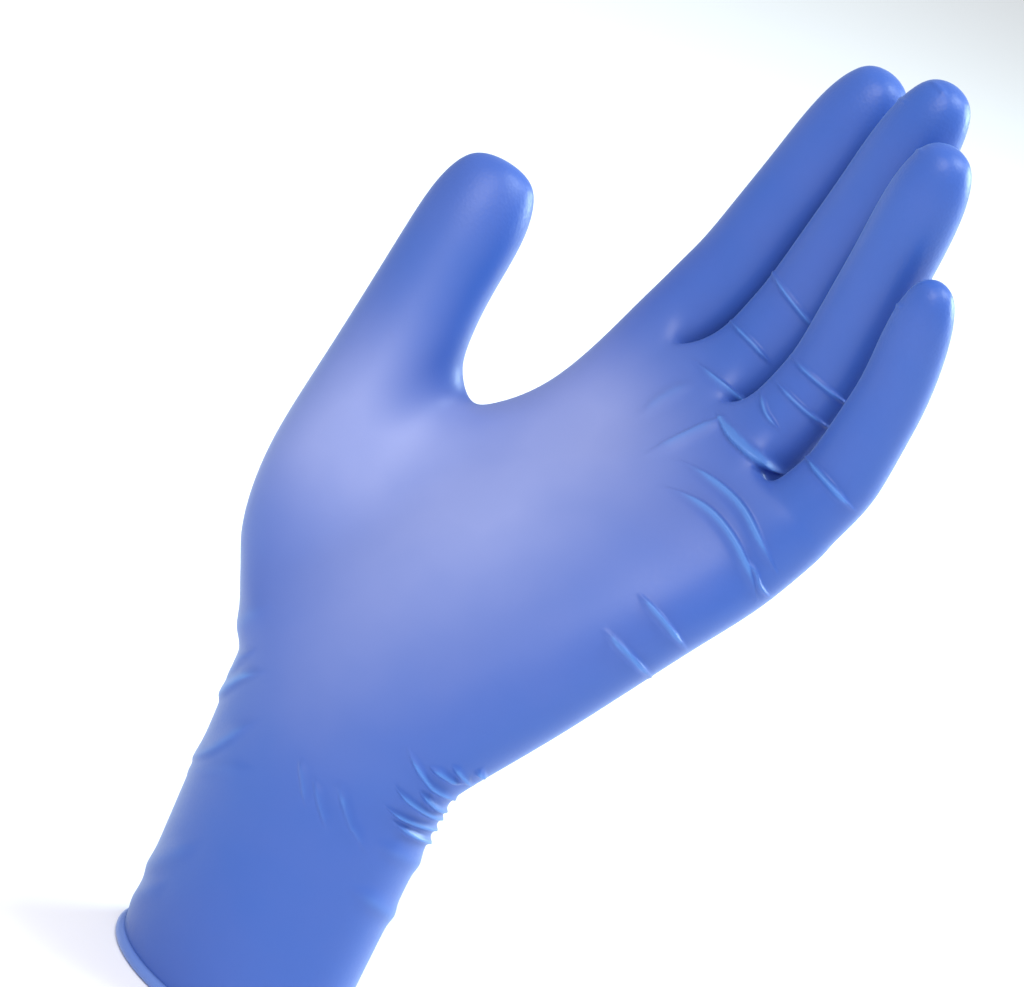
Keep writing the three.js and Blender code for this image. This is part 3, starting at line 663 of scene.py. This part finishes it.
def refined(points, faces, parts, chosen):
    """Splits the chosen four-sided faces in four. Their neighbours take up the new points in their edges."""
    normals = normals_of(points, faces)
    new_points = list(points)
    middle_of = {}

    def middle(a, b):
        key = (min(a, b), max(a, b))
        if key not in middle_of:
            half_way = (points[a] + points[b]) / 2
            lift_a = (points[a] - half_way) @ normals[a] * normals[a]
            lift_b = (points[b] - half_way) @ normals[b] * normals[b]
            middle_of[key] = len(new_points)
            new_points.append(half_way + (lift_a + lift_b) / 4)
        return middle_of[key]

    new_faces, new_parts = [], []
    split = [n for n, face in enumerate(faces) if chosen[n] and len(face) == 4]
    for n in split:
        face = faces[n]
        middles = [middle(a, b) for a, b in zip(face, face[1:] + face[:1])]
        corners = sum(points[p] for p in face) / 4
        new_points.append(sum(new_points[m] for m in middles) / 2 - corners)
        centre = len(new_points) - 1
        for i in range(4):
            new_faces.append((face[i], middles[i], centre, middles[i - 1]))
            new_parts.append(parts[n])
    done = set(split)
    for n, face in enumerate(faces):
        if n in done:
            continue
        outline = []
        for a, b in zip(face, face[1:] + face[:1]):
            outline.append(a)
            between = middle_of.get((min(a, b), max(a, b)))
            if between is not None:
                outline.append(between)
        new_faces.append(tuple(outline))
        new_parts.append(parts[n])
    return np.array(new_points), new_faces, np.array(new_parts)


FILM_LEVELS = 3
NEAR_ENOUGH_TO_SPLIT = 0.25
BENT_ENOUGH_TO_SPLIT = (0.035 * MM, 0.045 * MM)
points, faces, face_parts = smoothed_cage(FILM_LEVELS)
for least_bend in (None, *BENT_ENOUGH_TO_SPLIT):
    shares = parts_of_points(len(points), faces, face_parts)
    normals = normals_of(points, faces)
    heights, nearness = fold_heights(points, normals, shares)
    corners = np.array([face[:4] for face in faces])
    if least_bend is None:
        chosen = nearness[corners].max(axis=1) > NEAR_ENOUGH_TO_SPLIT
    else:
        middles = [values[corners].mean(axis=1) for values in (points, normals, shares)]
        bent = np.abs(fold_heights(*middles)[0] - heights[corners].mean(axis=1)) > least_bend
        beside_bent = np.zeros(len(points), bool)
        beside_bent[corners[bent]] = True
        chosen = beside_bent[corners].any(axis=1)
    points, faces, face_parts = refined(points, faces, face_parts, chosen)
shares = parts_of_points(len(points), faces, face_parts)
normals = normals_of(points, faces)
heights, _ = fold_heights(points, normals, shares)
rim = points[points[:, 2] < BEAD_THICKNESS + 0.01 * MM]
film = piece("film", points + heights[:, None] * normals, faces, nitrile)


def paint(mesh, name, values):
    """A mask over the mesh's points, which the film's material reads by its name."""
    mesh.attributes.new(name, "FLOAT", "POINT").data.foreach_set("value", np.ascontiguousarray(values, float))


# The film is pulled thinnest and paler over the palm, the ball of the thumb and the knuckles, and its
# fingertips are pebbled for grip. The palm-side spots also paint the palm's broad highlight into that
# paleness. Spots are along the palm, across it to the thumb, and their reach both ways.
PALM_STRETCH_AND_HIGHLIGHT = [(54, 6, 34, 27, 1), (42, 38, 22, 18, 0.8), (84, 18, 14, 24, 0.5), (10, -2, 20, 18, 0.3)]
BACK_STRETCH = [(70, 0, 22, 34, 0.5)]
FOLD_HIGHLIGHT_HEIGHT = 0.8 * MM
FOLD_HIGHLIGHT_STRENGTH, FOLD_HIGHLIGHT_SHARPNESS = 0.45, 4
STRETCH_FROM, STRETCH_TO = -0.1, 0.9
TIP_REACH = 24 * MM
TIP_FULL_REACH = 0.4 * TIP_REACH
from_wrist = points - palm["origin"]
along_palm, across_palm = from_wrist @ palm["along"], from_wrist @ palm["across"]
palmward = normals @ palm["out"]
stretch_and_highlight = np.zeros(len(points))
for spots, side in ((PALM_STRETCH_AND_HIGHLIGHT, palmward), (BACK_STRETCH, -palmward)):
    for along, across, reach_along, reach_across, weight in spots:
        off_centre = ((along_palm / MM - along) / reach_along) ** 2 + (
            (across_palm / MM - across) / reach_across
        ) ** 2
        stretch_and_highlight += weight * smoothstep(STRETCH_FROM, STRETCH_TO, side) * np.exp(-off_centre)
paint(film.data, "stretch_and_highlight", np.clip(stretch_and_highlight, 0, 1))
# Painted highlight: the highest crests of the folds are painted light cyan blue.
raised = np.clip(heights / FOLD_HIGHLIGHT_HEIGHT, 0, 1)
paint(film.data, "fold", FOLD_HIGHLIGHT_STRENGTH * raised**FOLD_HIGHLIGHT_SHARPNESS)
tips = np.array([digit_spot(d, 2, 0.9)["origin"] for d in (THUMB, *fingers)])
from_tips = np.linalg.norm(points[:, None] - tips[None], axis=2).min(axis=1)
paint(film.data, "tip", 1 - smoothstep(TIP_FULL_REACH, TIP_REACH, from_tips))

# The inner face of the same film, which lies against the hand. It shows only through the open cuff, and is
# left without the outer face's folds.
INSIDE_LEVELS = 2
SKIN = 0.4 * MM
inner_points, inner_faces, _ = smoothed_cage(INSIDE_LEVELS)
inner_points = inner_points - SKIN * normals_of(inner_points, inner_faces)
piece("film_inside", inner_points, [face[::-1] for face in inner_faces], nitrile)

# The rim is the film rolled outwards on itself into a bead, as it is stripped off its mould. Its many
# It is given a paler blue and a little less roughness than the single film.
ROLLED_BLUE = (0.1, 0.2, 0.58, 1)
ROLLED_CLOUDED_BLUE = (0.14, 0.23, 0.56, 1)
rolled_nitrile = nitrile_film(
    "rolled_nitrile", ROLLED_BLUE, ROLLED_CLOUDED_BLUE, STRETCHED_AND_HIGHLIT_LAVENDER, FOLD_HIGHLIGHT_BLUE, -0.12, 0.04 * MM
)
BEAD_SIDES = 28
bead_radius = BEAD_THICKNESS / 2
rim = rim[np.argsort(np.arctan2(rim[:, 1], rim[:, 0]))]
rim_tangents = np.roll(rim, -1, axis=0) - np.roll(rim, 1, axis=0)
rim_outward = np.cross(rim_tangents, [0, 0, 1])
rim_outward /= np.linalg.norm(rim_outward, axis=1, keepdims=True)
bead_centre = rim + (bead_radius - FILM_WALL) * rim_outward
bead_centre[:, 2] = bead_radius
bead_points = np.concatenate([
    bead_centre + bead_radius * (cos(angle) * rim_outward + sin(angle) * np.array([0, 0, 1]))
    for angle in np.linspace(0, 2 * pi, BEAD_SIDES, endpoint=False)
])
bead_faces = [
    (
        ring * len(rim) + i,
        ring * len(rim) + (i + 1) % len(rim),
        (ring + 1) % BEAD_SIDES * len(rim) + (i + 1) % len(rim),
        (ring + 1) % BEAD_SIDES * len(rim) + i,
    )
    for ring in range(BEAD_SIDES) for i in range(len(rim))
]
piece("rolled_rim", bead_points, bead_faces, rolled_nitrile)

# The floor is plain and pale.
FLOOR_SIDE = 6
floor_mesh = bpy.data.meshes.new("floor")
half = FLOOR_SIDE / 2
floor_mesh.from_pydata(
    [(-half, -half, 0), (half, -half, 0), (half, half, 0), (-half, half, 0)], [], [(0, 1, 2, 3)]
)
floor = bpy.data.objects.new("floor", floor_mesh)
bpy.context.scene.collection.objects.link(floor)
pale = bpy.data.materials.new("pale_floor")
pale.use_nodes = True
pale.node_tree.nodes["Principled BSDF"].inputs["Base Color"].default_value = (0.96, 0.96, 0.965, 1)
pale.node_tree.nodes["Principled BSDF"].inputs["Roughness"].default_value = 0.9
floor_mesh.materials.append(pale)


# Soft studio light: a pale surround, a large soft light high on the palm's side, and two narrower cool ones
# behind the hand, one low past the thumb and one high, which brighten the edges that face them.
LIGHTS_AIM = (0, 0.02, 0.12)


def soft_light(name, azimuth, elevation, distance, side, power, tint):
    light = bpy.data.lights.new(name, "AREA")
    light.shape = "SQUARE"
    light.size = side
    light.energy = power
    light.color = tint
    holder = bpy.data.objects.new(name, light)
    axes = view_axes(radians(azimuth), radians(elevation), 0)
    turned = Matrix(axes.T.tolist()).to_4x4()
    holder.matrix_world = Matrix.Translation(LIGHTS_AIM + distance * axes[2]) @ turned
    bpy.context.scene.collection.objects.link(holder)


soft_light("key", 32, 54, 1.4, 0.9, 15, (1, 0.96, 0.95))
soft_light("edge", 177, 15, 1.3, 0.5, 16, (0.7, 0.92, 1))
soft_light("top", 150, 58, 1.3, 0.6, 12, (0.8, 0.95, 1))
world = bpy.data.worlds.new("surround")
bpy.context.scene.world = world
world.use_nodes = True
world.node_tree.nodes["Background"].inputs["Color"].default_value = (0.95, 0.97, 1, 1)
world.node_tree.nodes["Background"].inputs["Strength"].default_value = 0.56
bpy.context.scene.view_settings.view_transform = "Standard"
